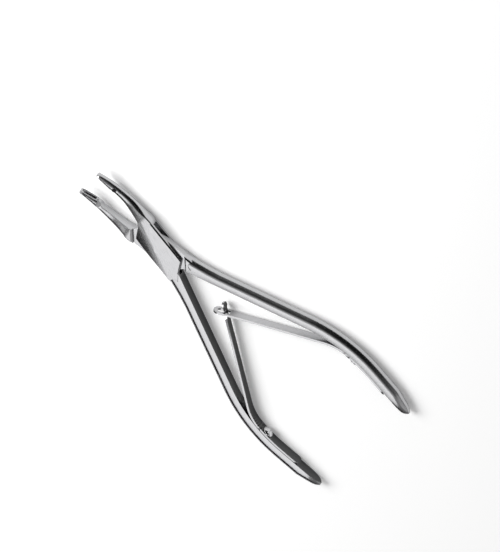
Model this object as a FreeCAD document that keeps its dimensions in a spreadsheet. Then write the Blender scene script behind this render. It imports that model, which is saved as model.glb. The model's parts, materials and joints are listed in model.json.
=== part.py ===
import FreeCAD, Part
import math
import os

import Sketcher

# Bone rongeur with a box lock, spoon jaws curved on the flat and two leaf springs.
# Each half is drawn as it stands with the jaws closed, along the X axis, with Z = 0 in
# its middle plane. Its placement turns it to the open position at rest and lifts it, so
# that the underside of the box lies on Z = 0. X points from the pivot to the jaws.
SIZES = {
    # box lock
    "box_thickness": 5.2,
    "box_width": 9.4,
    "box_edge": 0.45,
    "end_distance": 9.1,
    "end_slant": 53.0,
    "end_run": 6.55,
    "plate_blend": 2.6,
    "plate_bow": 0.7,
    "plate_lip": 0.1,
    "shoulder_gap": 0.6,
    "shoulder_bevel": 0.65,
    "end_bevel": 0.3,
    "fall_start": 8.0,
    "fall_offset": 1.2,
    "fall_turn": 15.5,
    "fall_tilt": 2.5,
    "fall_radius": 25.0,
    "tongue_thickness": 2.5,
    "tongue_play": 0.05,
    "pin_diameter": 3.2,
    "pin_play": 0.03,
    "half_opening": 7.45,
    # jaws
    "jaw_length": 35.0,
    "jaw_root": 12.0,
    "jaw_block": 2.5,
    "jaw_neck": 20.0,
    "jaw_waist": 26.0,
    "root_depth": 5.3,
    "neck_depth": 4.25,
    "waist_depth": 3.2,
    "nose_depth": 1.1,
    "neck_breadth": 3.5,
    "spoon_breadth": 3.4,
    "nose_radius": 1.7,
    "curve_start": 19.0,
    "jaw_rise": 2.6,
    "rim_play": 0.06,
    "spoon_length": 8.4,
    "cup_length": 6.9,
    "cup_breadth": 2.6,
    "cup_wall": 0.5,
    "relief_depth": 1.0,
    "jaw_crown": 0.55,
    "notch_length": 2.0,
    "rim_rise": 1.6,
    "rim_step": 0.7,
    # handles
    "handle_thickness": 4.3,
    "handle_breadth": 4.8,
    "handle_slope": 16.1,
    "handle_straight": 46.7,
    "bend_radius": 58.0,
    "tail_slope": 12.5,
    "handle_reach": 105.9,
    "end_radius": 1.15,
    "nose_length": 9.5,
    "handle_crown": 0.1,
    "inner_corner": 0.3,
    "cut_allowance": 0.3,
    "flare_thickness": 5.5,
    "flare_length": 13.0,
    "root_overlap": 3.5,
    # springs
    "spring_thickness": 0.8,
    "spring_breadth": 4.3,
    "crossing_breadth": 3.3,
    "spring_bend": 18.0,
    "lift_angle": 1.0,
    "crossing_reach": 33.2,
    "tail_reach": 94.6,
    "tail_round": 1.2,
    "neck_width": 1.9,
    "neck_length": 1.7,
    "neck_start": 1.1,
    "shoulder_start": 2.2,
    "head_width": 3.3,
    "head_length": 2.6,
    "head_slope": 0.6,
    "window_play": 0.2,
    "window_reach": 3.4,
    "window_start": 1.5,
    "eye_width": 4.3,
    "eye_rim": 1.4,
    "eye_start": 1.0,
    "waist_start": 6.0,
    "waist_inset": 0.35,
    # screws
    "screw_angle": 4.9,
    "screw_diameter": 2.4,
    "screw_depth": 2.7,
    "screw_play": 0.1,
    "screw_spare": 0.2,
    "seat_play": 0.01,
    "head_diameter": 4.2,
    "head_height": 1.3,
    "head_edge": 0.35,
    "slot_width": 0.6,
    "slot_depth": 0.5,
}

doc = FreeCAD.newDocument("rongeur")
sheet = doc.addObject("Spreadsheet::Sheet", "sizes")
for row, (alias, number) in enumerate(SIZES.items(), start=1):
    sheet.set(f"A{row}", alias)
    sheet.set(f"B{row}", str(number))
    sheet.setAlias(f"B{row}", alias)
doc.recompute()


def size(alias):
    return float(getattr(sheet, alias))


def vec(x, y, z=0.0):
    return FreeCAD.Vector(x, y, z)


def turned(angle):
    """Unit vector in the XY plane at an angle in degrees."""
    return vec(math.cos(math.radians(angle)), math.sin(math.radians(angle)))


def left_of(angle):
    return turned(angle + 90.0)


def mirrored(point, side):
    return vec(point.x, point.y * side, point.z)


def new_body(label):
    body = doc.addObject("PartDesign::Body", label)
    body.Label = label
    return body


def origin_plane(body, role):
    return next(item for item in body.Origin.OriginFeatures if item.Role == role)


def new_sketch(body, name, role="XY_Plane", offset=None):
    sketch = body.newObject("Sketcher::SketchObject", name)
    sketch.AttachmentSupport = (origin_plane(body, role), [""])
    sketch.MapMode = "FlatFace"
    if offset is not None:
        sketch.AttachmentOffset = offset
    return sketch


def add_loop(sketch, points, arcs=(), curves=()):
    """Closed loop through points; arcs maps a start index to the arc's middle point.

    curves maps a start index to a ready curve.
    """
    middles = dict(arcs)
    ready = dict(curves)
    first = sketch.GeometryCount
    count = len(points)
    for index, start in enumerate(points):
        end = points[(index + 1) % count]
        if index in ready:
            sketch.addGeometry(ready[index])
        elif index in middles:
            sketch.addGeometry(Part.Arc(start, middles[index], end))
        else:
            sketch.addGeometry(Part.LineSegment(start, end))
    return first


def pad(body, sketch, name, alias):
    feature = body.newObject("PartDesign::Pad", name)
    feature.Profile = sketch
    feature.Midplane = True
    feature.setExpression("Length", f"sizes.{alias}")
    body.Tip = feature
    return feature


def pocket(body, sketch, name, length, midplane=True, upward=False):
    feature = body.newObject("PartDesign::Pocket", name)
    feature.Profile = sketch
    feature.Midplane = midplane
    feature.Reversed = upward
    if isinstance(length, str):
        feature.setExpression("Length", length)
    else:
        feature.Length = length
    body.Tip = feature
    return feature


def volume_of(body):
    doc.recompute()
    for item in body.Group:
        if "Invalid" in item.State or "Error" in item.State:
            raise RuntimeError(f"{body.Label}: {item.Name} failed")
    return body.Shape.Volume


def check_cut(body, before, name):
    after = volume_of(body)
    if not after < before - 1e-4:
        raise RuntimeError(f"{name} cut nothing")
    return after


# The handle's inner face: a straight run, a bend and a straight tail.
def inner_face():
    slant = size("end_slant")
    normal = turned(180.0 + 90.0 - slant)
    start = normal * size("end_distance") + turned(180.0 - slant) * size("end_run")
    heading = 180.0 - size("handle_slope")
    run = size("handle_straight") / math.cos(math.radians(size("handle_slope")))
    bend_start = start + turned(heading) * run
    center = bend_start + left_of(heading) * size("bend_radius")
    return start, bend_start, center


def on_bend(center, heading, radius):
    return center - left_of(heading) * radius


def inner_lengths():
    """Lengths of the inner face's straight run, bend and tail."""
    start, bend_start, center = inner_face()
    tail = 180.0 + size("tail_slope")
    bend_end = on_bend(center, tail, size("bend_radius"))
    straight = (bend_start - start).Length
    bend = size("bend_radius") * math.radians(size("handle_slope") + size("tail_slope"))
    rest = (bend_end.x + size("handle_reach")) / -turned(tail).x
    return straight, bend, rest


def inner_point(distance):
    """Point and heading on the inner face, at a distance from the box."""
    start, bend_start, center = inner_face()
    straight, bend, _rest = inner_lengths()
    heading = 180.0 - size("handle_slope")
    if distance <= straight:
        return start + turned(heading) * distance, heading
    turn = min(distance - straight, bend)
    heading += math.degrees(turn / size("bend_radius"))
    point = on_bend(center, heading, size("bend_radius"))
    return point + turned(heading) * max(distance - straight - bend, 0.0), heading


def station_frame(point, outward):
    """Section plane: X outward from the inner face, Y up."""
    up = vec(0, 0, 1)
    rotation = FreeCAD.Rotation(outward, up, outward.cross(up), "ZXY")
    return FreeCAD.Placement(point, rotation)


def round_side(shoulder, outer, half):
    """Round outer side as one smooth curve from the upper to the lower shoulder."""
    pull = 4.0 / 3.0 * (math.sqrt(2.0) - 1.0)
    near = shoulder + (outer - shoulder) * pull
    poles = [
        vec(shoulder, half),
        vec(near, half),
        vec(outer, half * pull),
        vec(outer, 0.0),
        vec(outer, -half * pull),
        vec(near, -half),
        vec(shoulder, -half),
    ]
    curve = Part.BSplineCurve()
    curve.buildFromPolesMultsKnots(poles, [4, 3, 4], [0.0, 1.0, 2.0], False, 3)
    return curve


def add_section(body, name, frame, inner, outer, half, crown, bulge, curved=False):
    """Half-round section: flat inner face with broken corners, crowned top and round outside.

    inner and outer are the places of its two sides, half is half its breadth, crown is how
    far the top falls off towards the inner face, and bulge is the depth of the round side.
    """
    sketch = new_sketch(body, name, "XY_Plane", frame)
    corner = size("inner_corner")
    shoulder = outer - bulge
    edge = inner + corner
    low = half - crown
    top_middle = vec((edge + shoulder) / 2.0, low + crown * 0.75)
    points = [
        vec(inner, corner - low),
        vec(inner, low - corner),
        vec(edge, low),
        vec(shoulder, half),
        vec(shoulder, -half),
        vec(edge, -low),
    ]
    arcs = {3: vec(outer, 0.0)}
    if crown > 0.0:
        arcs[2] = top_middle
        arcs[4] = vec(top_middle.x, -top_middle.y)
    add_loop(sketch, points, arcs, {3: round_side(shoulder, outer, half)} if curved else {})
    return sketch


def loft(body, name, sections, ruled=False):
    doc.recompute()
    feature = body.newObject("PartDesign::AdditiveLoft", name)
    feature.Profile = sections[0]
    feature.Sections = sections[1:]
    feature.Ruled = ruled
    body.Tip = feature
    return volume_of(body)


def handle_section(body, side, name, distance, inner, outer, half):
    """Half-round section across the handle, at a distance from the box."""
    point, heading = inner_point(distance)
    frame = station_frame(mirrored(point, side), mirrored(left_of(heading) * -1.0, side))
    bulge = min(half, (outer - inner) * 0.62)
    crown = min(size("handle_crown"), half * 0.2)
    return add_section(body, name, frame, inner, outer, half, crown, bulge)


def add_run(body, side, name, distance, length, half):
    """Straight stretch of the handle."""
    spare = -size("cut_allowance")
    sketch = handle_section(body, side, name + "_section", distance, spare, size("handle_thickness"), half)
    feature = body.newObject("PartDesign::Pad", name)
    feature.Profile = sketch
    feature.Length = length
    feature.Reversed = side > 0
    body.Tip = feature
    return volume_of(body)


def add_bend(body, side, length, half):
    """The bowed stretch, turned about the bend's centre; length runs along the inner face."""
    center = inner_face()[2]
    heading = 180.0 - size("handle_slope")
    frame = station_frame(mirrored(center, side), mirrored(left_of(heading) * -1.0, side))
    radius = size("bend_radius")
    inner = radius - size("cut_allowance")
    outer = radius + size("handle_thickness")
    sketch = add_section(body, "bend_section", frame, inner, outer, half, size("handle_crown"), half)
    feature = body.newObject("PartDesign::Revolution", "bend")
    feature.Profile = sketch
    feature.ReferenceAxis = (sketch, ["V_Axis"])
    feature.Angle = math.degrees(length / radius)
    feature.Reversed = side < 0
    body.Tip = feature
    return volume_of(body)


def root_stations():
    """Distance from the box, outer side and half breadth where the handle leaves the box."""
    thick = size("handle_thickness")
    flare = size("flare_thickness") - thick
    fade = size("flare_length")
    half = size("handle_breadth") / 2.0
    rows = []
    for distance in (-size("root_overlap"), 0.0, fade * 0.2, fade * 0.4, fade * 0.65, fade):
        share = 1.0 - max(distance, 0.0) / fade
        rows.append((distance, thick + flare * share ** 1.5, half))
    return rows


def nose_stations():
    """Share of the nose's length left, place of its two sides and half breadth."""
    thick = size("handle_thickness")
    half = size("handle_breadth") / 2.0
    spare = -size("cut_allowance")
    blunt = size("end_radius")
    rows = [(1.0, spare, thick, half)]
    for left in (0.8, 0.6, 0.42, 0.28, 0.17, 0.09, 0.03):
        share = max(1.0 - left / 0.3, 0.0) ** 2
        outer = 2.0 * blunt + (thick - 2.0 * blunt) * left ** 0.9 - blunt * 0.75 * share
        inner = spare + (blunt * 0.6 - spare) * share
        rows.append((left, inner, outer, half * (1.0 - (1.0 - left) ** 3.2) ** 0.6))
    return rows


def build_handle(body, side):
    straight, bend, rest = inner_lengths()
    half = size("handle_breadth") / 2.0
    spare = -size("cut_allowance")
    sections = []
    for number, (distance, outer, breadth) in enumerate(root_stations(), start=1):
        sections.append(handle_section(body, side, f"root_section_{number}", distance, spare, outer, breadth))
    loft(body, "handle_root", sections, ruled=True)
    fade = size("flare_length")
    add_run(body, side, "handle_run", fade, straight - fade, half)
    # The nose may begin on the bend, and a straight tail is left only in front of it.
    nose = size("nose_length")
    add_bend(body, side, bend + min(rest - nose, 0.0), half)
    if rest > nose:
        add_run(body, side, "handle_tail", straight + bend, rest - nose, half)
    sections = []
    for number, (left, inner, outer, breadth) in enumerate(nose_stations(), start=1):
        distance = straight + bend + rest - nose * left
        sections.append(handle_section(body, side, f"nose_section_{number}", distance, inner, outer, breadth))
    before = loft(body, "handle_nose", sections, ruled=True)
    # The inner face is cut true, so that the spring's foot lies flat on it.
    start, bend_start, center = inner_face()
    slope = 180.0 - size("handle_slope")
    tail = 180.0 + size("tail_slope")
    radius = size("bend_radius")
    bend_end = on_bend(center, tail, radius)
    far = bend_end + turned(tail) * (rest + 3.0)
    slant_end = start - turned(180.0 - size("end_slant")) * size("box_width")
    points = [start, bend_start, bend_end, far, vec(far.x, slant_end.y), slant_end]
    plan = new_sketch(body, "inner_face_plan")
    middle = on_bend(center, (slope + tail) / 2.0, radius)
    add_loop(plan, [mirrored(p, side) for p in points], {1: mirrored(middle, side)})
    pocket(body, plan, "inner_face", "sizes.box_thickness * 3")
    check_cut(body, before, "inner face")


def box_outline():
    """The box from above: long sides along X and an end slanted where the other half passes."""
    half = size("box_width") / 2.0
    slant = size("end_slant")
    normal = turned(90.0 - slant)
    along = turned(180.0 - slant)
    foot = normal * size("end_distance")
    top = foot + along * ((half - foot.y) / along.y)
    low = foot - along * size("end_run")
    return top, low


def build_box(body, side):
    top, low = box_outline()
    half = size("box_width") / 2.0
    start = inner_face()[0]
    blend = size("plate_blend")
    points = [
        top,
        low,
        vec(low.x, -half),
        top * -1.0,
        start,
        vec(start.x - blend * 0.9, start.y + blend * 0.9),
        vec(top.x * -1.0 - blend * 1.6, half + size("plate_lip")),
        vec(top.x * -1.0, half),
    ]
    arcs = {5: vec(start.x - blend * 0.2, (start.y + half) / 2.0 + size("plate_bow"))}
    sketch = new_sketch(body, "box_plan")
    add_loop(sketch, [mirrored(p, side) for p in points], {k: mirrored(p, side) for k, p in arcs.items()})
    pad(body, sketch, "box", "box_thickness")
    volume_of(body)
    cut_box_bevels(body)


def cut_box_bevels(body):
    """Both faces of the box bevelled along its long sides."""
    before = volume_of(body)
    side = size("box_width") / 2.0
    face = size("box_thickness") / 2.0
    edge = size("box_edge")
    out = side + 1.0
    sketch = new_sketch(body, "box_bevel_ends", "YZ_Plane")
    for across in (1.0, -1.0):
        for up in (1.0, -1.0):
            corners = [
                vec(across * (side - edge), up * face),
                vec(across * out, up * (face - edge * (out - side + edge) / edge)),
                vec(across * out, up * (face + 1.0)),
                vec(across * (side - edge), up * (face + 1.0)),
            ]
            add_loop(sketch, corners)
    pocket(body, sketch, "box_bevels", "sizes.box_width * 4")
    check_cut(body, before, "box bevels")


def jaw_center(x):
    """Height of the jaw's middle over the middle plane."""
    run = max(x - size("curve_start"), 0.0)
    whole = size("jaw_length") - size("curve_start")
    return size("jaw_rise") * (run / whole) ** 2


def jaw_section(body, side, name, station):
    """Section across the jaw; station gives its place, depth, half breadth and roundness."""
    x, depth, half, share = station
    point = vec(x, 0.0, jaw_center(x))
    frame = station_frame(mirrored(point, side), mirrored(vec(0, -1, 0), side))
    bulge = min(half * max(share, 0.3), depth * 0.75)
    crown = size("jaw_crown") * share
    return add_section(body, name, frame, -size("cut_allowance"), depth, half, crown, bulge, True)


def build_jaw(body, side):
    rim = -size("rim_play") / 2.0
    full = size("box_thickness") / 2.0
    root = size("jaw_root")
    neck = size("jaw_neck")
    waist = size("jaw_waist")
    tip = size("jaw_length")
    neck_half = size("neck_breadth") / 2.0
    spoon = size("spoon_breadth") / 2.0
    thick = (size("root_depth"), size("neck_depth"), size("waist_depth"), size("nose_depth"))
    heel = tip - size("spoon_length")
    stations = [
        (root, thick[0] - 0.15, full, 0.0),
        (root + (neck - root) * 0.25, thick[0] - 0.4, full - 0.2, 0.55),
        (root + (neck - root) * 0.6, (thick[0] + thick[1]) / 2.0 - 0.1, (full + neck_half) / 2.0 - 0.05, 0.9),
        (neck, thick[1], neck_half, 1.0),
        (waist, thick[2], spoon, 1.0),
        (waist + (tip - waist) * 0.5, (thick[2] + thick[3]) / 2.0 + 0.2, spoon, 1.0),
        (tip + 0.3, thick[3], spoon - 0.15, 1.0),
    ]
    block = (
        jaw_section(body, side, "jaw_block_start", (root - size("jaw_block"), thick[0], full, 0.0)),
        jaw_section(body, side, "jaw_block_end", stations[0]),
    )
    loft(body, "jaw_block", list(block), ruled=True)
    sections = [
        jaw_section(body, side, f"jaw_section_{number}", station)
        for number, station in enumerate(stations, start=1)
    ]
    before = loft(body, "jaw", sections)
    # The jaws meet along the spoons' rims and stand back from each other behind them.
    top, low = box_outline()
    along = turned(180.0 - size("end_slant"))
    deep = -size("relief_depth")
    notch = size("notch_length")
    relief = new_sketch(body, "relief_plan")
    corners = [
        top + along * 3.0,
        low,
        vec(low.x + notch, low.y - notch * 0.45),
        vec(heel - size("rim_rise"), deep * 0.85),
        vec(heel - size("rim_step"), deep * 0.6),
        vec(heel, rim),
        vec(tip + 3.0, rim),
        vec(tip + 3.0, top.y + 3.0),
    ]
    arcs = {
        1: vec(low.x + notch * 0.42, low.y - notch * 0.28),
        2: vec((low.x + notch + heel - size("rim_rise")) / 2.0, deep),
    }
    add_loop(relief, [mirrored(p, side) for p in corners], {k: mirrored(p, side) for k, p in arcs.items()})
    pocket(body, relief, "relief", "sizes.box_thickness * 4")
    before = check_cut(body, before, "relief")
    # Rounded outline of the spoon.
    radius = size("nose_radius")
    middle = tip - radius
    rise = jaw_center(tip) - jaw_center(tip - 1.0)
    lift = jaw_center(middle)
    nose = new_sketch(body, "nose_outline", "XZ_Plane")
    back = middle - 1.0
    back_lift = jaw_center(back)
    outline = [
        vec(back, back_lift - radius - 0.02),
        vec(middle, lift - radius),
        vec(middle, lift + radius),
        vec(back, back_lift + radius + 0.02),
        vec(back, lift + 6.0),
        vec(tip + 4.0, lift + 6.0),
        vec(tip + 4.0, lift - 6.0),
        vec(back, lift - 6.0),
    ]
    add_loop(nose, outline, {1: vec(tip, lift + rise * radius * 0.8)})
    pocket(body, nose, "nose_rounding", "sizes.box_width * 3")
    before = check_cut(body, before, "nose rounding")
    cut_cup(body, before)


def cut_cup(body, before):
    """The spoon's hollow, an egg-shaped cut along the rims and tilted with the jaw."""
    half_length = size("cup_length") / 2.0
    half_breadth = size("cup_breadth") / 2.0
    x = size("jaw_length") - size("cup_wall") - half_length
    slope = math.degrees(math.atan2(jaw_center(x + 1.0) - jaw_center(x - 1.0), 2.0))
    tilt = FreeCAD.Placement(vec(x, jaw_center(x), 0.0), FreeCAD.Rotation(vec(0, 0, 1), slope))
    sketch = new_sketch(body, "cup_profile", "XZ_Plane", tilt)
    flank = half_length - half_breadth
    quarter = half_breadth * math.sqrt(0.5)
    points = [
        vec(-half_length, 0.0),
        vec(-flank, half_breadth),
        vec(flank, half_breadth),
        vec(half_length, 0.0),
    ]
    add_loop(sketch, points, {0: vec(-flank - quarter, quarter), 2: vec(flank + quarter, quarter)})
    cup = body.newObject("PartDesign::Groove", "cup")
    cup.Profile = sketch
    cup.ReferenceAxis = (sketch, ["H_Axis"])
    cup.Angle = 360.0
    body.Tip = cup
    check_cut(body, before, "cup")


def shoulder_strip(side):
    """Band through the box between the two slanted shoulders."""
    slant = size("end_slant")
    normal = turned(90.0 - slant)
    along = turned(180.0 - slant)
    reach = size("end_distance") + size("shoulder_gap")
    far = along * size("box_width") * 1.5
    corners = [
        normal * reach + far,
        normal * reach - far,
        normal * -reach - far,
        normal * -reach + far,
    ]
    return [mirrored(p, side) for p in corners]


def cut_slot(body, side):
    """The mid layer opened for the other half's tongue."""
    before = volume_of(body)
    sketch = new_sketch(body, "slot_plan")
    add_loop(sketch, shoulder_strip(-side))
    pocket(body, sketch, "slot", "sizes.tongue_thickness + 2 * sizes.tongue_play")
    check_cut(body, before, "slot")


def cut_tongue(body, side):
    """The outer layers taken off between the shoulders, which leaves the tongue."""
    before = volume_of(body)
    for name, sign in (("upper_step", 1.0), ("lower_step", -1.0)):
        sketch = new_sketch(body, name + "_plan")
        sketch.setExpression("AttachmentOffset.Base.z", f"{sign} * sizes.tongue_thickness / 2")
        add_loop(sketch, shoulder_strip(-side))
        pocket(body, sketch, name, "sizes.box_thickness", midplane=False, upward=sign > 0)
        before = check_cut(body, before, name)


def cut_shoulder_bevels(body, side):
    """Upper and lower edges of the shoulders bevelled towards the slot."""
    before = volume_of(body)
    reach = size("end_distance") + size("shoulder_gap")
    face = size("box_thickness") / 2.0
    run = size("shoulder_bevel")
    drop = run * 0.8
    across = mirrored(turned(90.0 - size("end_slant")), -side)
    frame = station_frame(vec(0, 0), across)
    sketch = new_sketch(body, "shoulder_bevel_ends", "XY_Plane", frame)
    for out in (1.0, -1.0):
        for up in (1.0, -1.0):
            corners = [
                vec(out * (reach - 0.2), up * (face - drop * (run + 0.2) / run)),
                vec(out * (reach + run * 1.5), up * (face + drop * 0.5)),
                vec(out * (reach - 0.2), up * (face + drop * 0.5)),
            ]
            add_loop(sketch, corners)
    pocket(body, sketch, "shoulder_bevels", "sizes.box_width * 3")
    check_cut(body, before, "shoulder bevels")


def cut_end_bevels(body):
    """Edges of the box's slanted ends bevelled on both faces."""
    before = volume_of(body)
    face = size("box_thickness") / 2.0
    wide = size("end_bevel")
    low = box_outline()[1]
    normal = turned(90.0 - size("end_slant"))
    for name, sign in (("front", 1.0), ("rear", -1.0)):
        sketch = new_sketch(body, f"{name}_bevel_ends", "XY_Plane", station_frame(low * sign, normal * sign))
        for up in (1.0, -1.0):
            corners = [
                vec(-wide, up * face),
                vec(wide, up * (face - wide * 2.0)),
                vec(wide, up * (face + wide)),
                vec(-wide, up * (face + wide)),
            ]
            add_loop(sketch, corners)
        pocket(body, sketch, f"{name}_bevels", "sizes.box_width", midplane=False)
        before = check_cut(body, before, f"{name} bevels")


def cut_fall(body, side):
    """The upper face falls off in a wide round towards the edge beside the notch."""
    before = volume_of(body)
    face = size("box_thickness") / 2.0
    radius = size("fall_radius")
    heading = 180.0 - size("fall_turn")
    point = mirrored(vec(size("fall_start"), -size("fall_offset")), side)
    outward = mirrored(left_of(heading) * -1.0, side)
    sketch = new_sketch(body, "fall_ends", "XY_Plane", station_frame(point, outward))
    tilt = math.tan(math.radians(size("fall_tilt")))
    wide = size("box_width")

    def drop(reach):
        return reach * tilt + reach ** 2 / (2.0 * radius)

    points = [
        vec(0.0, face),
        vec(wide, face - drop(wide)),
        vec(wide, face + 1.0),
        vec(0.0, face + 1.0),
    ]
    add_loop(sketch, points, {0: vec(wide / 2.0, face - drop(wide / 2.0))})
    pocket(body, sketch, "fall", "sizes.box_width * 4")
    check_cut(body, before, "fall")


def cut_pin_hole(body, expression):
    before = volume_of(body)
    sketch = new_sketch(body, "pin_hole_plan")
    sketch.addGeometry(Part.Circle(vec(0, 0), vec(0, 0, 1), size("pin_diameter") / 2.0))
    number = sketch.addConstraint(Sketcher.Constraint("Radius", 0, size("pin_diameter") / 2.0))
    sketch.renameConstraint(number, "bore")
    sketch.addConstraint(Sketcher.Constraint("Coincident", 0, 3, -1, 1))
    sketch.setExpression("Constraints.bore", expression)
    pocket(body, sketch, "pin_hole", "sizes.box_thickness * 2")
    check_cut(body, before, "pin hole")


def screw_frame(side):
    """Seat of a spring screw on the handle's inner face, with Z out of the face."""
    center = inner_face()[2]
    heading = 180.0 + size("screw_angle")
    point = mirrored(on_bend(center, heading, size("bend_radius")), side)
    outward = mirrored(left_of(heading), side)
    across = vec(0, 0, 1)
    rotation = FreeCAD.Rotation(across.cross(outward) * -1.0, across, outward, "ZXY")
    return FreeCAD.Placement(point, rotation)


def cut_screw_hole(body, side, name, radius, length):
    before = volume_of(body)
    sketch = new_sketch(body, name + "_plan", "XY_Plane", screw_frame(side))
    sketch.addGeometry(Part.Circle(vec(0, 0), vec(0, 0, 1), size("screw_diameter") / 2.0))
    number = sketch.addConstraint(Sketcher.Constraint("Radius", 0, size("screw_diameter") / 2.0))
    sketch.renameConstraint(number, "bore")
    sketch.addConstraint(Sketcher.Constraint("Coincident", 0, 3, -1, 1))
    sketch.setExpression("Constraints.bore", radius)
    pocket(body, sketch, name, length)
    check_cut(body, before, name)


def cut_clearance(body, side):
    """Hole in a leaf for its screw's shank."""
    radius = "sizes.screw_diameter / 2 + sizes.screw_play"
    cut_screw_hole(body, side, "screw_clearance", radius, "sizes.spring_thickness * 5")


def place_half(feature, side):
    feature.setExpression("Placement.Base.z", "sizes.box_thickness / 2")
    feature.setExpression("Placement.Rotation.Angle", f"{-side} * sizes.half_opening")


def make_half(label, side):
    body = new_body(label)
    build_box(body, side)
    build_handle(body, side)
    build_jaw(body, side)
    cut_fall(body, side)
    if side > 0:
        cut_end_bevels(body)
        cut_slot(body, side)
        cut_pin_hole(body, "sizes.pin_diameter / 2")
    else:
        cut_tongue(body, side)
        cut_shoulder_bevels(body, side)
        cut_pin_hole(body, "sizes.pin_diameter / 2 + sizes.pin_play")
    cut_screw_hole(body, side, "screw_hole", "sizes.screw_diameter / 2", "2 * sizes.screw_depth")
    place_half(body, side)
    return body


def make_pin():
    pin = doc.addObject("Part::Cylinder", "pivot_pin")
    pin.Label = "pivot_pin"
    pin.setExpression("Radius", "sizes.pin_diameter / 2")
    pin.setExpression("Height", "sizes.box_thickness")
    return pin


def spring_line():
    """Centre line of a spring as it stands at rest: arm, bend, foot and tail."""
    center = inner_face()[2]
    foot_radius = size("bend_radius") - size("spring_thickness") / 2.0
    lift = 180.0 + size("lift_angle")
    lift_off = on_bend(center, lift, foot_radius)
    bend = size("spring_bend")
    bend_center = lift_off + left_of(lift) * bend
    opening = math.radians(size("half_opening"))
    reach = size("crossing_reach")
    crossing = vec(-reach * math.cos(opening), -reach * math.sin(opening))
    gap = bend_center - crossing
    heading = math.degrees(math.atan2(gap.y, gap.x)) - math.degrees(math.asin(bend / gap.Length))
    heading %= 360.0
    arm_end = bend_center - left_of(heading) * bend
    tail = 180.0 + size("tail_slope")
    foot_end = on_bend(center, tail, foot_radius)
    tail_end = foot_end + turned(tail) * ((foot_end.x + size("tail_reach")) / -turned(tail).x)
    return {
        "center": center,
        "foot_radius": foot_radius,
        "lift": lift,
        "lift_off": lift_off,
        "bend_center": bend_center,
        "crossing": crossing,
        "heading": heading,
        "arm_end": arm_end,
        "tail": tail,
        "foot_end": foot_end,
        "tail_end": tail_end,
    }


def spring_plan(body, side, overhang):
    """The leaf seen from above, with its arm running past the crossing."""
    line = spring_line()
    half = size("spring_thickness") / 2.0
    heading = line["heading"]
    lift = line["lift"]
    tail = line["tail"]
    bow = size("spring_bend")
    rows = []
    for sign in (1.0, -1.0):
        tip = line["crossing"] - turned(heading) * overhang - left_of(heading) * (sign * half)
        row = [
            tip,
            line["arm_end"] - left_of(heading) * (sign * half),
            line["lift_off"] - left_of(lift) * (sign * half),
            line["foot_end"] - left_of(tail) * (sign * half),
            line["tail_end"] - left_of(tail) * (sign * half),
        ]
        bend_middle = on_bend(line["bend_center"], (heading + lift) / 2.0, bow + sign * half)
        foot_middle = on_bend(line["center"], (lift + tail) / 2.0, line["foot_radius"] + sign * half)
        rows.append((row, bend_middle, foot_middle))
    outer, inner = rows
    points = outer[0] + inner[0][::-1]
    arcs = {1: outer[1], 2: outer[2], 6: inner[2], 7: inner[1]}
    sketch = new_sketch(body, "leaf_plan")
    add_loop(sketch, [mirrored(p, side) for p in points], {k: mirrored(p, side) for k, p in arcs.items()})
    pad(body, sketch, "leaf", "spring_breadth")
    doc.recompute()


def arm_frame(side):
    """Plane along the arm at the crossing: X along the arm to its root, Y up."""
    line = spring_line()
    along = mirrored(turned(line["heading"]), side)
    up = vec(0, 0, 1)
    rotation = FreeCAD.Rotation(along, up, along.cross(up), "ZXY")
    return FreeCAD.Placement(mirrored(line["crossing"], side), rotation)


def trim_leaf(body, side, contour, arcs, name):
    """Everything outside the contour is cut off the leaf."""
    before = volume_of(body)
    sketch = new_sketch(body, name + "_plan", "XY_Plane", arm_frame(side))
    add_loop(sketch, contour, arcs)
    near = -size("crossing_reach")
    far = size("handle_reach")
    wide = size("spring_breadth") * 2.0
    add_loop(sketch, [vec(near, -wide), vec(far, -wide), vec(far, wide), vec(near, wide)])
    pocket(body, sketch, name, "sizes.handle_reach")
    check_cut(body, before, name)


def tail_points():
    """The leaf's tail in the arm plane."""
    line = spring_line()
    end = (line["tail_end"] - line["crossing"]).dot(turned(line["heading"]))
    root = (line["lift_off"] - line["crossing"]).dot(turned(line["heading"]))
    return root, end


def make_lower_spring():
    body = new_body("lower_spring")
    side = 1.0
    neck = size("neck_width") / 2.0
    head = size("head_width") / 2.0
    neck_end = size("neck_length")
    head_start = neck_end + size("head_slope")
    tip = neck_end + size("head_length")
    spring_plan(body, side, tip + 1.0)
    wide = size("crossing_breadth") / 2.0
    full = size("spring_breadth") / 2.0
    root, end = tail_points()
    soft = size("tail_round")
    contour = [
        vec(end, full - soft),
        vec(end - soft, full),
        vec(root, full),
        vec(size("shoulder_start"), wide),
        vec(size("neck_start"), neck),
        vec(-neck_end, neck),
        vec(-head_start, head),
        vec(-tip + head * 0.8, head),
        vec(-tip + head * 0.8, -head),
        vec(-head_start, -head),
        vec(-neck_end, -neck),
        vec(size("neck_start"), -neck),
        vec(size("shoulder_start"), -wide),
        vec(root, -full),
        vec(end - soft, -full),
        vec(end, -full + soft),
    ]
    corner = soft * (1.0 - math.sqrt(0.5))
    arcs = {
        0: vec(end - corner, full - corner),
        7: vec(-tip, 0.0),
        14: vec(end - corner, -full + corner),
    }
    trim_leaf(body, side, contour, arcs, "arm_outline")
    cut_clearance(body, side)
    place_half(body, side)
    return body


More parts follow.
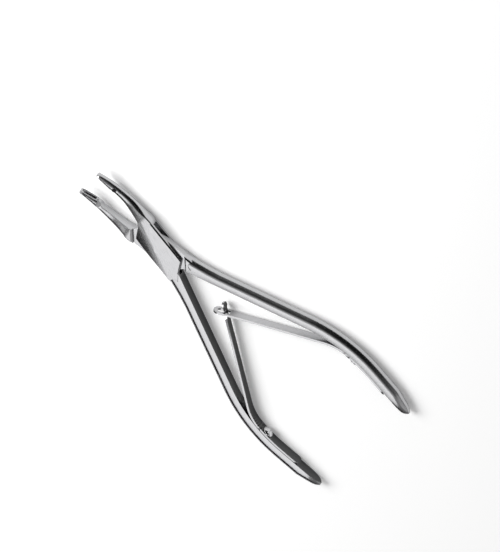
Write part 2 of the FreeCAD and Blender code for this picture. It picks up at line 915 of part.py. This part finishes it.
def make_upper_spring():
    body = new_body("upper_spring")
    side = -1.0
    window = size("neck_width") / 2.0 + size("window_play")
    eye = size("eye_width") / 2.0
    reach = size("window_reach")
    tip = reach + size("eye_rim")
    spring_plan(body, side, tip + 1.0)
    full = size("spring_breadth") / 2.0
    root, end = tail_points()
    soft = size("tail_round")
    corner = soft * (1.0 - math.sqrt(0.5))
    contour = [
        vec(end, full - soft),
        vec(end - soft, full),
        vec(root, full),
        vec(size("waist_start"), eye - size("waist_inset")),
        vec(size("eye_start"), eye),
        vec(-tip + eye, eye),
        vec(-tip + eye, -eye),
        vec(size("eye_start"), -eye),
        vec(size("waist_start"), -eye + size("waist_inset")),
        vec(root, -full),
        vec(end - soft, -full),
        vec(end, -full + soft),
    ]
    arcs = {0: vec(end - corner, full - corner), 5: vec(-tip, 0.0), 10: vec(end - corner, -full + corner)}
    trim_leaf(body, side, contour, arcs, "arm_outline")
    before = volume_of(body)
    sketch = new_sketch(body, "window_plan", "XY_Plane", arm_frame(side))
    start = size("window_start")
    end_center = -reach + window
    corners = [
        vec(start, window),
        vec(end_center, window),
        vec(end_center, -window),
        vec(start, -window),
    ]
    add_loop(sketch, corners, {1: vec(-reach, 0.0)})
    pocket(body, sketch, "window", "sizes.spring_breadth")
    check_cut(body, before, "window")
    cut_clearance(body, side)
    place_half(body, side)
    return body


def make_screw(label, side):
    """Slotted dome-head screw, drawn on Z with its head's seat at the leaf."""
    body = new_body(label)
    shank = size("screw_diameter") / 2.0
    head = size("head_diameter") / 2.0
    inner_radius = size("bend_radius") - size("spring_thickness")
    sag = inner_radius - math.sqrt(inner_radius ** 2 - head ** 2)
    seat = size("spring_thickness") + sag + size("seat_play")
    top = seat + size("head_height")
    edge = seat + size("head_edge")
    bottom = -size("screw_depth") + size("screw_spare")
    sketch = new_sketch(body, "turned_profile", "XZ_Plane")
    dome = top - edge
    ball = (head ** 2 + dome ** 2) / (2.0 * dome)
    half_turn = math.asin(head / ball) / 2.0
    points = [
        vec(0.0, bottom),
        vec(shank, bottom),
        vec(shank, seat),
        vec(head, seat),
        vec(head, edge),
        vec(0.0, top),
    ]
    add_loop(sketch, points, {4: vec(ball * math.sin(half_turn), top - ball * (1.0 - math.cos(half_turn)))})
    turn = body.newObject("PartDesign::Revolution", "turned")
    turn.Profile = sketch
    turn.ReferenceAxis = (sketch, ["V_Axis"])
    turn.Angle = 360.0
    body.Tip = turn
    before = volume_of(body)
    slot = new_sketch(body, "driver_slot_side", "XZ_Plane")
    half = size("slot_width") / 2.0
    low = top - size("slot_depth")
    add_loop(slot, [vec(-half, low), vec(half, low), vec(half, top + 1.0), vec(-half, top + 1.0)])
    pocket(body, slot, "driver_slot", "sizes.head_diameter * 2")
    check_cut(body, before, "driver slot")
    half_place = FreeCAD.Placement(
        vec(0, 0, size("box_thickness") / 2.0),
        FreeCAD.Rotation(vec(0, 0, 1), -side * size("half_opening")),
    )
    body.Placement = half_place.multiply(screw_frame(side))
    return body


parts = [
    make_half("female_half", 1.0),
    make_half("male_half", -1.0),
    make_pin(),
    make_lower_spring(),
    make_upper_spring(),
    make_screw("lower_spring_screw", 1.0),
    make_screw("upper_spring_screw", -1.0),
]
doc.recompute()

for item in doc.Objects:
    bad = [word for word in item.State if word in ("Invalid", "Error")]
    if bad:
        raise RuntimeError(f"{item.Name} is {bad}")

os.makedirs("parts", exist_ok=True)
for item in parts:
    shape = item.Shape
    if shape.isNull() or not shape.isValid():
        raise RuntimeError(f"{item.Label} has no valid shape")
    if len(shape.Solids) != 1:
        raise RuntimeError(f"{item.Label} has {len(shape.Solids)} solids")
    shape.exportStep(f"parts/{item.Label}.step")
    print(item.Label, round(shape.Volume, 3))
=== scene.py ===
import json
import math

import bpy
from mathutils import Matrix, Vector

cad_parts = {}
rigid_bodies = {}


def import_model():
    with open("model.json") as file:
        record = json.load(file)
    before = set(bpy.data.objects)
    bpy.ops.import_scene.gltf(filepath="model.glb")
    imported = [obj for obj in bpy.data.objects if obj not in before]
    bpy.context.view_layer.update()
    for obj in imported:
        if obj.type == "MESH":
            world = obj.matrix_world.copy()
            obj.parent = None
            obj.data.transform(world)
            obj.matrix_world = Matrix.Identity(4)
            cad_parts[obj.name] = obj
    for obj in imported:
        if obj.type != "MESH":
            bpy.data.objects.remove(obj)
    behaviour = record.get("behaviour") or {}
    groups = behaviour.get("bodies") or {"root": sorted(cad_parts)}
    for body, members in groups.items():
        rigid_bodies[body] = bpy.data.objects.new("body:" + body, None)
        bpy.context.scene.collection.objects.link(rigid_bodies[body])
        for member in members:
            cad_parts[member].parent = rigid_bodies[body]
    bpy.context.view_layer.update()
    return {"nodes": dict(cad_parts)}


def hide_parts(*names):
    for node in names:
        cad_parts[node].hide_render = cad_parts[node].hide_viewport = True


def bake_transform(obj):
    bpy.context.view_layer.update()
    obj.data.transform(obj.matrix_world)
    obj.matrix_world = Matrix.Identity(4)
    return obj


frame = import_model()
MM = 0.001

# The photograph's view: angles in degrees, distances in metres.
VIEW_TILT = 34.4
VIEW_TURN = 11.0
VIEW_ROLL = 35.7
VIEW_DISTANCE = 1.2
VIEW_CENTRE = Vector((-28.94, -18.34, 2.60)) * MM
POINTS_PER_MM = 2.82
PICTURE_HEIGHT = 552.0
SENSOR_SIZE = 36.0
NEAREST_SEEN = 0.05
FARTHEST_SEEN = 10.0

# Studio: brightness of the room by height, and its screens.
LAMPS_AIM = Vector((-0.03, 0.0, 0.0))
ROOM_BY_HEIGHT = ((0.0, 0.5), (0.06, 0.35), (0.15, 0.2), (0.6, 0.2), (0.9, 0.26), (1.0, 0.6))
DARK_SCREEN = 0.05
# Each screen: azimuth, elevation, half angle to its outside, half angle to its full strength, share.
SCREENS = (
    (3.0, 28.0, 36.0, 18.0, DARK_SCREEN),
    (5.0, 60.0, 38.0, 18.0, DARK_SCREEN),
    (191.0, 14.0, 44.0, 20.0, DARK_SCREEN),
    (54.0, 30.0, 30.0, 10.0, 3.0),
    (300.0, 35.0, 38.0, 14.0, 2.8),
)
TABLE_SIZE = 4.0
TABLE_WHITE = (0.95, 0.95, 0.95, 1.0)
TABLE_ROUGHNESS = 0.95
TABLE_LIFT = 0.17

# Steel: colours, roughness, grinding lines, painted shade on the inner sides and broken edges.
SATIN_COLOR = (0.49, 0.49, 0.5)
SCREW_COLOR = (0.62, 0.62, 0.63)
SATIN_ROUGHNESS = 0.2
SCREW_ROUGHNESS = 0.12
ROUGHNESS_SPREAD = 0.05
CLOUDED = 0.93
CLOUD_FINENESS = 120.0
GRAIN_FINENESS = 5200.0
GRAIN_STRETCH = (0.06, 1.0, 1.0)
GRAIN_RANGE = (0.3, 0.7)
GRAIN_RELIEF = 0.12
GRAIN_DEPTH = 0.01 * MM
NOISE_DETAIL = 4.0
# Painted shade: the inner sides' colour is multiplied by this share where they face inward and lie
# behind the box, standing in for their dark reflection.
PAINTED_SHADE_SHARE = (0.14, 0.14, 0.14, 1.0)
PAINTED_SHADE_FACING = (0.6, 0.8)
PAINTED_SHADE_FROM = (-9.0 * MM, -13.0 * MM)
EDGE_RADIUS = 0.08 * MM
EDGE_SAMPLES = 6
PIN_SPOT = 1.9 * MM

# The way that each handle runs, in degrees, and the way that its inner side and its leaf's look;
# these inner sides get painted shade.
FEMALE_RUN = 156.0
MALE_RUN = 24.0
FEMALE_INSIDE = (-0.2, -0.98, 0.0)
MALE_INSIDE = (-0.2, 0.98, 0.0)
LOWER_LEAF_INSIDE = (-0.5, -0.86, 0.0)
UPPER_LEAF_INSIDE = (-0.5, 0.86, 0.0)

# Meshes: merging distance, crease in degrees, and where the leaves bend.
MERGED = 0.0005 * MM
CREASE = 30.0
LOWER_ROOT = Vector((-62.49, 20.43, 2.6)) * MM
UPPER_ROOT = Vector((-62.49, -20.43, 2.6)) * MM
LEAF_SLANT = 34.9
LEAF_CUTS = 11

for leftover in list(bpy.context.scene.objects):
    if leftover.type in ("LIGHT", "CAMERA"):
        bpy.data.objects.remove(leftover)
bpy.ops.object.select_all(action="DESELECT")


# Camera, lamps, room and table.
def compass(azimuth, elevation):
    """Unit vector out to a compass direction; azimuth 0 is -Y and 90 is +X."""
    turn, rise = math.radians(azimuth), math.radians(elevation)
    out = math.cos(rise)
    return Vector((math.sin(turn) * out, -math.cos(turn) * out, math.sin(rise)))


def set_camera():
    """Long lens at the photograph's tilt, turn and roll."""
    tilt = math.radians(VIEW_TILT)
    turn = math.radians(VIEW_TURN)
    roll = math.radians(VIEW_ROLL)
    toward = Vector((-math.cos(turn), -math.sin(turn), 0.0))
    across = Vector((-math.sin(turn), math.cos(turn), 0.0))
    fall = across * math.cos(tilt) + Vector((0, 0, 1)) * math.sin(tilt)
    right = toward * math.cos(roll) - fall * math.sin(roll)
    up = -(toward * math.sin(roll) + fall * math.cos(roll))
    back = right.cross(up)
    data = bpy.data.cameras.new("camera")
    data.sensor_width = SENSOR_SIZE
    data.lens = POINTS_PER_MM / MM * VIEW_DISTANCE * SENSOR_SIZE / PICTURE_HEIGHT
    data.clip_start = NEAREST_SEEN
    data.clip_end = FARTHEST_SEEN
    camera = bpy.data.objects.new("camera", data)
    bpy.context.scene.collection.objects.link(camera)
    turned = Matrix((right, up, back)).transposed().to_4x4()
    camera.matrix_world = Matrix.Translation(VIEW_CENTRE + back * VIEW_DISTANCE) @ turned
    bpy.context.scene.camera = camera


def add_softbox(name, azimuth, elevation, distance, size, brightness):
    """Square soft light aimed at the instrument; brightness is its radiance, 1 being white."""
    data = bpy.data.lights.new(name, "AREA")
    data.shape = "SQUARE"
    data.size = size
    data.energy = brightness * math.pi * size ** 2
    lamp = bpy.data.objects.new(name, data)
    bpy.context.scene.collection.objects.link(lamp)
    away = compass(azimuth, elevation)
    lamp.location = LAMPS_AIM + away * distance
    lamp.rotation_euler = away.to_track_quat("Z", "Y").to_euler()


def vector_step(tree, operation, source, other=None):
    """Vector Math node fed by a socket, with other as its second vector."""
    step = tree.nodes.new("ShaderNodeVectorMath")
    step.operation = operation
    if other is not None:
        step.inputs[1].default_value = other
    tree.links.new(source, step.inputs[0])
    return step


def number_step(tree, operation, source, other):
    """Result of a Math node on a socket and either a number or a second socket."""
    step = tree.nodes.new("ShaderNodeMath")
    step.operation = operation
    tree.links.new(source, step.inputs[0])
    if isinstance(other, float):
        step.inputs[1].default_value = other
    else:
        tree.links.new(other, step.inputs[1])
    return step.outputs["Value"]


def remap(tree, source, old_range, new_range=(0.0, 1.0), soft=False):
    """Result of a Map Range node, eased at both ends if soft."""
    step = tree.nodes.new("ShaderNodeMapRange")
    if soft:
        step.interpolation_type = "SMOOTHSTEP"
    step.inputs["From Min"].default_value, step.inputs["From Max"].default_value = old_range
    step.inputs["To Min"].default_value, step.inputs["To Max"].default_value = new_range
    tree.links.new(source, step.inputs["Value"])
    return step.outputs["Result"]


def room_by_height(tree, coords):
    """Brightness of the room from the horizon up to the zenith."""
    split = tree.nodes.new("ShaderNodeSeparateXYZ")
    tree.links.new(coords.outputs["Generated"], split.inputs[0])
    height = tree.nodes.new("ShaderNodeValToRGB")
    height.color_ramp.interpolation = "EASE"
    stops = height.color_ramp.elements
    while len(stops) < len(ROOM_BY_HEIGHT):
        stops.new(0.5)
    for stop, (place, level) in zip(stops, ROOM_BY_HEIGHT):
        stop.position = place
        stop.color = (level, level, level, 1.0)
    tree.links.new(split.outputs["Z"], height.inputs["Fac"])
    return height.outputs["Color"]


def set_world():
    """Grey studio with a pale horizon, three dark screens and two pale ones."""
    world = bpy.data.worlds.new("studio")
    bpy.context.scene.world = world
    world.use_nodes = True
    tree = world.node_tree
    tree.nodes.clear()
    coords = tree.nodes.new("ShaderNodeTexCoord")
    level = room_by_height(tree, coords)
    for azimuth, elevation, outside, full, share in SCREENS:
        middle = compass(azimuth, elevation)
        toward = vector_step(tree, "DOT_PRODUCT", coords.outputs["Generated"], middle)
        cone = (math.cos(math.radians(outside)), math.cos(math.radians(full)))
        strength = remap(tree, toward.outputs["Value"], cone, (1.0, share), soft=True)
        screened = vector_step(tree, "SCALE", level)
        tree.links.new(strength, screened.inputs["Scale"])
        level = screened.outputs["Vector"]
    background = tree.nodes.new("ShaderNodeBackground")
    output = tree.nodes.new("ShaderNodeOutputWorld")
    tree.links.new(level, background.inputs["Color"])
    tree.links.new(background.outputs["Background"], output.inputs["Surface"])


def add_table():
    """White table that keeps the instrument's shadow and shows white in the steel."""
    bpy.ops.mesh.primitive_plane_add(size=TABLE_SIZE, location=(0.0, 0.0, 0.0))
    table = bpy.context.object
    table.name = "table"
    paint = bpy.data.materials.new("white_table")
    paint.use_nodes = True
    tree = paint.node_tree
    shader = tree.nodes["Principled BSDF"]
    shader.inputs["Base Color"].default_value = TABLE_WHITE
    shader.inputs["Roughness"].default_value = TABLE_ROUGHNESS
    shader.inputs["Specular IOR Level"].default_value = 0.0
    shader.inputs["Emission Color"].default_value = (1.0, 1.0, 1.0, 1.0)
    path = tree.nodes.new("ShaderNodeLightPath")
    seen = number_step(tree, "MAXIMUM", path.outputs["Is Camera Ray"], path.outputs["Is Glossy Ray"])
    lift = number_step(tree, "MULTIPLY", seen, TABLE_LIFT)
    tree.links.new(lift, shader.inputs["Emission Strength"])
    table.data.materials.append(paint)


# Finishes.
def noise(tree, place, fineness):
    """Uneven pattern; a greater fineness makes it smaller."""
    pattern = tree.nodes.new("ShaderNodeTexNoise")
    pattern.inputs["Scale"].default_value = fineness
    pattern.inputs["Detail"].default_value = NOISE_DETAIL
    tree.links.new(place, pattern.inputs["Vector"])
    return pattern.outputs["Fac"]


def grinding_lines(tree, coords, angle):
    """Fine lines that run along an angle seen from above."""
    turn = tree.nodes.new("ShaderNodeMapping")
    turn.inputs["Rotation"].default_value = (0.0, 0.0, math.radians(-angle))
    stretch = tree.nodes.new("ShaderNodeMapping")
    stretch.inputs["Scale"].default_value = GRAIN_STRETCH
    tree.links.new(coords.outputs["Object"], turn.inputs["Vector"])
    tree.links.new(turn.outputs["Vector"], stretch.inputs["Vector"])
    return noise(tree, stretch.outputs["Vector"], GRAIN_FINENESS)


def painted_shade_mask(tree, coords, facing):
    """Mask of the painted shade: the faces that look along facing, behind the box."""
    look = vector_step(tree, "DOT_PRODUCT", coords.outputs["Normal"], facing)
    faces = remap(tree, look.outputs["Value"], PAINTED_SHADE_FACING)
    split = tree.nodes.new("ShaderNodeSeparateXYZ")
    tree.links.new(coords.outputs["Object"], split.inputs[0])
    behind = remap(tree, split.outputs["X"], PAINTED_SHADE_FROM)
    return number_step(tree, "MULTIPLY", faces, behind)


def steel_tone(tree, coords, color, shade_side):
    """Slightly clouded colour, with painted shade (a painted dark reflection) on the side that looks
    along the given direction.
    """
    tone = tree.nodes.new("ShaderNodeMix")
    tone.data_type = "RGBA"
    tone.inputs["A"].default_value = tuple(c * CLOUDED for c in color) + (1.0,)
    tone.inputs["B"].default_value = tuple(color) + (1.0,)
    clouds = noise(tree, coords.outputs["Object"], CLOUD_FINENESS)
    tree.links.new(clouds, tone.inputs["Factor"])
    if shade_side is None:
        return tone.outputs["Result"]
    # Painted shade: the inner side's colour is multiplied darker to stand in for its dark
    # reflection.
    painted_shade = tree.nodes.new("ShaderNodeMix")
    painted_shade.data_type = "RGBA"
    painted_shade.blend_type = "MULTIPLY"
    painted_shade.inputs["B"].default_value = PAINTED_SHADE_SHARE
    tree.links.new(painted_shade_mask(tree, coords, shade_side), painted_shade.inputs["Factor"])
    tree.links.new(tone.outputs["Result"], painted_shade.inputs["A"])
    return painted_shade.outputs["Result"]


def broken_edges(tree, coords):
    """Normal with softly broken edges, and none round the pin, which is ground flush."""
    edge = tree.nodes.new("ShaderNodeBevel")
    edge.samples = EDGE_SAMPLES
    edge.inputs["Radius"].default_value = EDGE_RADIUS
    plain = tree.nodes.new("ShaderNodeNewGeometry")
    flat = vector_step(tree, "MULTIPLY", coords.outputs["Object"], (1.0, 1.0, 0.0))
    reach = vector_step(tree, "LENGTH", flat.outputs["Vector"])
    away = number_step(tree, "GREATER_THAN", reach.outputs["Value"], PIN_SPOT)
    broken = tree.nodes.new("ShaderNodeMix")
    broken.data_type = "VECTOR"
    tree.links.new(away, broken.inputs["Factor"])
    tree.links.new(plain.outputs["Normal"], broken.inputs["A"])
    tree.links.new(edge.outputs["Normal"], broken.inputs["B"])
    return broken.outputs["Result"]


def steel(name, color, roughness, angle=0.0, shade_side=None):
    """Ground stainless steel.

    angle is the run of the grinding lines, and the direction after it the way that the inner side
    looks, where the colour is painted darker as painted shade.
    """
    finish = bpy.data.materials.new(name)
    finish.use_nodes = True
    tree = finish.node_tree
    shader = tree.nodes["Principled BSDF"]
    shader.inputs["Metallic"].default_value = 1.0
    coords = tree.nodes.new("ShaderNodeTexCoord")
    tree.links.new(steel_tone(tree, coords, color, shade_side), shader.inputs["Base Color"])
    grain = grinding_lines(tree, coords, angle)
    gloss_range = (roughness - ROUGHNESS_SPREAD, roughness + ROUGHNESS_SPREAD)
    tree.links.new(remap(tree, grain, GRAIN_RANGE, gloss_range), shader.inputs["Roughness"])
    relief = tree.nodes.new("ShaderNodeBump")
    relief.inputs["Strength"].default_value = GRAIN_RELIEF
    relief.inputs["Distance"].default_value = GRAIN_DEPTH
    tree.links.new(grain, relief.inputs["Height"])
    tree.links.new(broken_edges(tree, coords), relief.inputs["Normal"])
    tree.links.new(relief.outputs["Normal"], shader.inputs["Normal"])
    return finish


# Pieces.
def smooth(piece):
    """Rounded faces shaded smooth, with sharper edges kept crisp."""
    piece.data.polygons.foreach_set("use_smooth", [True] * len(piece.data.polygons))
    weld = piece.modifiers.new("weld", "WELD")
    weld.merge_threshold = MERGED
    split = piece.modifiers.new("crisp_edges", "EDGE_SPLIT")
    split.split_angle = math.radians(CREASE)


def dress(node, finish):
    piece = frame["nodes"][node]
    piece.data.materials.clear()
    piece.data.materials.append(finish)
    smooth(piece)


def flexing_leaf(name, node, root, heading, finish):
    """Leaf spring as one merged strip, cut across at every millimetre round its root, shown in place
    of its CAD node.
    """
    source = frame["nodes"][node]
    leaf = source.copy()
    leaf.data = source.data.copy()
    leaf.name = name
    leaf.parent = None
    leaf.matrix_world = source.matrix_world.copy()
    for key in list(leaf.keys()):
        del leaf[key]
    bpy.context.scene.collection.objects.link(leaf)
    leaf.data.materials.clear()
    leaf.data.materials.append(finish)
    bpy.ops.object.select_all(action="DESELECT")
    leaf.select_set(True)
    bpy.context.view_layer.objects.active = leaf
    along = Vector((math.cos(math.radians(heading)), math.sin(math.radians(heading)), 0.0))
    bpy.ops.object.mode_set(mode="EDIT")
    bpy.ops.mesh.select_all(action="SELECT")
    bpy.ops.mesh.remove_doubles(threshold=MERGED)
    for step in range(-LEAF_CUTS, LEAF_CUTS + 1):
        bpy.ops.mesh.select_all(action="SELECT")
        bpy.ops.mesh.bisect(plane_co=root + along * step * MM, plane_no=along)
    bpy.ops.object.mode_set(mode="OBJECT")
    bpy.ops.object.shade_smooth_by_angle(angle=math.radians(CREASE))
    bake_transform(leaf)
    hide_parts(node)


set_camera()
set_world()
add_table()
add_softbox("sky_light", azimuth=194.0, elevation=60.0, distance=0.9, size=0.42, brightness=1.35)
add_softbox("side_light", azimuth=106.0, elevation=42.0, distance=0.9, size=0.6, brightness=7.9)

# The inner sides of the halves and of the leaves get painted shade.
female_steel = steel("satin_steel_female", SATIN_COLOR, SATIN_ROUGHNESS, FEMALE_RUN, FEMALE_INSIDE)
male_steel = steel("satin_steel_male", SATIN_COLOR, SATIN_ROUGHNESS, MALE_RUN, MALE_INSIDE)
lower_leaf_steel = steel("lower_leaf_steel", SATIN_COLOR, SATIN_ROUGHNESS, shade_side=LOWER_LEAF_INSIDE)
upper_leaf_steel = steel("upper_leaf_steel", SATIN_COLOR, SATIN_ROUGHNESS, shade_side=UPPER_LEAF_INSIDE)
screw_steel = steel("bright_screw_steel", SCREW_COLOR, SCREW_ROUGHNESS)

dress("female_half", female_steel)
dress("male_half", male_steel)
dress("pivot_pin", female_steel)
dress("lower_spring_screw", screw_steel)
dress("upper_spring_screw", screw_steel)
flexing_leaf("lower_leaf", "lower_spring", LOWER_ROOT, -LEAF_SLANT, lower_leaf_steel)
flexing_leaf("upper_leaf", "upper_spring", UPPER_ROOT, LEAF_SLANT, upper_leaf_steel)

bpy.context.scene.view_settings.view_transform = "Standard"
